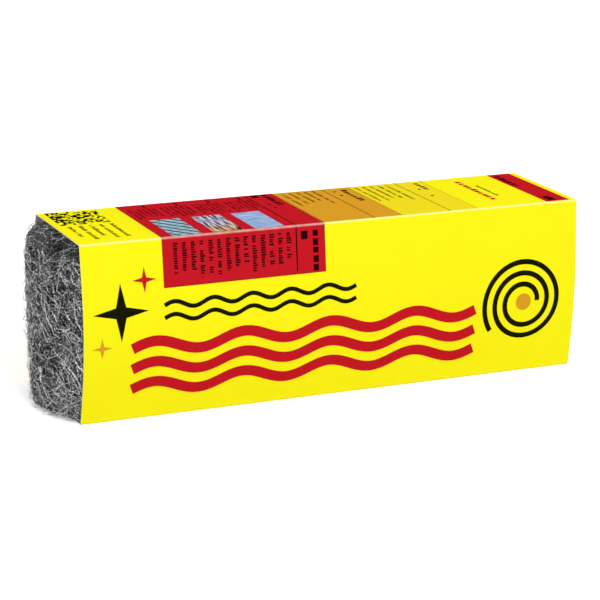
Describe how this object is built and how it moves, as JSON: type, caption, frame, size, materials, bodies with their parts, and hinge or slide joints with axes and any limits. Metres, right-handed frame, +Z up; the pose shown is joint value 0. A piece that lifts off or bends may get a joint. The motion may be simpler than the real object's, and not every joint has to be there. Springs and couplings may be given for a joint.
{
  "type": "steel wool pad",
  "caption": "Pad of coarse steel wool held in an open-ended printed card sleeve, with a rounded woolly end standing out of the left mouth.",
  "frame": {"origin": "middle of the underside, on the surface that the sleeve stands on", "axes": "+X along the sleeve to the right as seen from the printed front, +Y to the back, +Z up"},
  "size_m": [0.2356, 0.0631, 0.0728],
  "materials": {
    "steel_wool": "fine bright curly steel fibres",
    "card": "yellow printed, satin varnish, pale grey inside",
    "red_ink": "satin ink",
    "amber_ink": "satin ink",
    "pale_ink": "satin ink",
    "black_ink": "satin ink",
    "picture_ink": "satin ink"
  },
  "bodies": {
    "root": {"wool_pad": "steel_wool", "card_sleeve": "card", "print_red_field": "red_ink", "print_amber_field": "amber_ink", "print_pale_field": "pale_ink", "print_red_band": "red_ink", "print_picture_1": "picture_ink", "print_picture_2": "picture_ink", "print_picture_3": "picture_ink", "print_lattice": "black_ink", "print_coil": "black_ink", "print_coil_core": "amber_ink", "print_wave_1": "red_ink", "print_wave_2": "red_ink", "print_wave_3": "red_ink", "print_thin_wave_1": "black_ink", "print_thin_wave_2": "black_ink", "print_sparkle_1": "black_ink", "print_sparkle_2": "red_ink", "print_sparkle_3": "amber_ink"}
  },
  "joints": []
}
